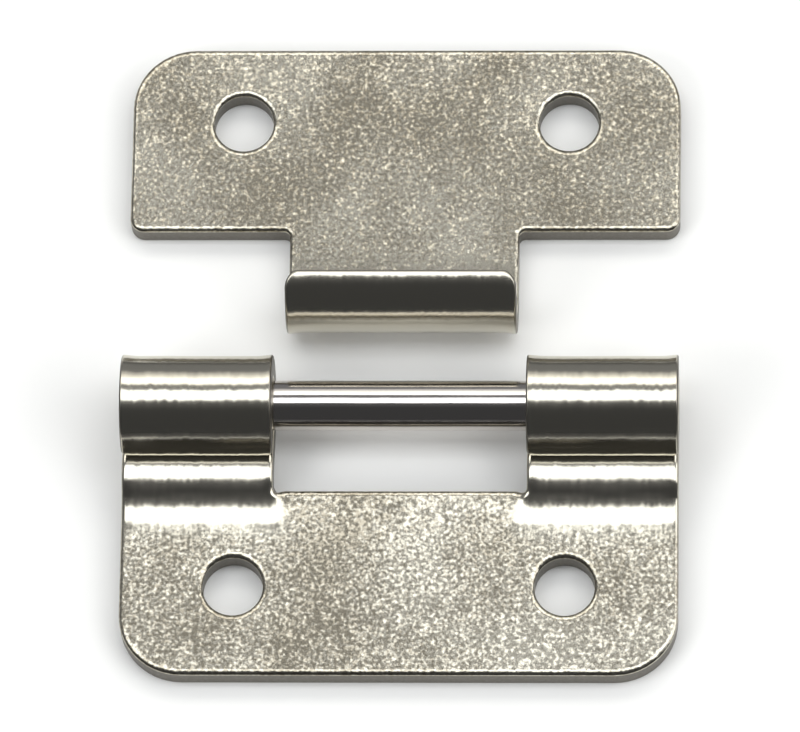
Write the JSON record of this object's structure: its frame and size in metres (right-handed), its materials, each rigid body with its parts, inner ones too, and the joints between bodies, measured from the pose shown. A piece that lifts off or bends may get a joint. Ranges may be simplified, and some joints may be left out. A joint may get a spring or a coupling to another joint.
{
  "type": "take-apart hinge",
  "caption": "Pressed steel take-apart hinge: a leaf with rolled knuckles holds a pin, and a second leaf hooks over the pin's bare middle. Both screw on. Laid out unhooked.",
  "frame": {"origin": "on the table under the middle of the laid-out hinge, in the plane of both back faces", "axes": "+X along the pin, +Y from the pin leaf to the hook leaf, +Z out of the front faces, where the knuckles and the hook stand up"},
  "size_m": [0.05, 0.0606, 0.0093],
  "materials": {
    "leaf_plate": "barrel-plated pressed steel, grainy on the flats and burnished on the bends",
    "pin_steel": "bright-drawn round bar, plated"
  },
  "bodies": {
    "pin_leaf": {"pin_leaf": "leaf_plate"},
    "hinge_pin": {"hinge_pin": "pin_steel"},
    "hook_leaf": {"hook_leaf": "leaf_plate"}
  },
  "joints": [
    {"name": "leaf_swing", "type": "hinge", "parent": "pin_leaf", "child": "hinge_pin", "pos_m": [0, -0.00555, 0.00465], "axis": [1, 0, 0], "range_deg": [0, 150]},
    {"name": "leaf_slide", "type": "slide", "parent": "hinge_pin", "child": "hook_leaf", "axis": [0, 1, 0], "range_m": [-0.0046, 0.02]}
  ]
}
